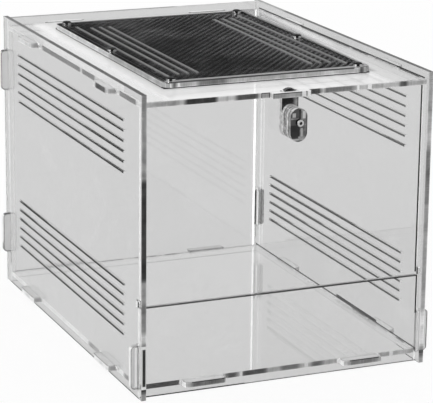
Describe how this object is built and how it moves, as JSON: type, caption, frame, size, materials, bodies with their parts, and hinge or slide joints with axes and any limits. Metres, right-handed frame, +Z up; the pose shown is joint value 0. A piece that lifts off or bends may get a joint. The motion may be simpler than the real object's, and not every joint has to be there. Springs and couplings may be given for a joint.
{
  "type": "terrarium",
  "caption": "Clear acrylic front-opening terrarium with tab-jointed panels, slotted sides, a screened vent on top and a sliding latch on the door.",
  "frame": {"origin": "on the ground, in the middle of the bounding box in X and Y", "axes": "+X to the right seen from the door, +Y from the door to the back, +Z up"},
  "size_m": [0.315, 0.4336, 0.2964],
  "materials": {
    "clear_acrylic": "polished cast acrylic sheet, laser-cut edges",
    "screw_steel": "stainless steel",
    "air_screen": "black coated woven wire"
  },
  "bodies": {
    "case": {"left_side_panel": "clear_acrylic", "right_side_panel": "clear_acrylic", "back_panel": "clear_acrylic", "floor_panel": "clear_acrylic", "top_panel": "clear_acrylic", "lower_front_panel": "clear_acrylic", "vent_cover": "clear_acrylic", "vent_screw_1": "screw_steel", "vent_screw_2": "screw_steel", "vent_screw_3": "screw_steel", "vent_screw_4": "screw_steel", "vent_screw_5": "screw_steel", "vent_screw_6": "screw_steel", "vent_net": "air_screen"},
    "door": {"front_door": "clear_acrylic"},
    "latch": {"latch_bolt": "clear_acrylic", "latch_knob_layer_1": "clear_acrylic", "latch_knob_layer_2": "clear_acrylic", "latch_knob_layer_3": "clear_acrylic", "latch_knob_layer_4": "clear_acrylic", "latch_screw": "screw_steel", "latch_washer": "screw_steel", "latch_nut": "screw_steel"}
  },
  "joints": [
    {"name": "door_hinge", "type": "hinge", "parent": "case", "child": "door", "pos_m": [0, -0.1847, 0.0935], "axis": [1, 0, 0], "range_deg": [0, 110]},
    {"name": "latch_slide", "type": "slide", "parent": "door", "child": "latch", "axis": [0, 0, -1], "range_m": [0, 0.011]}
  ]
}
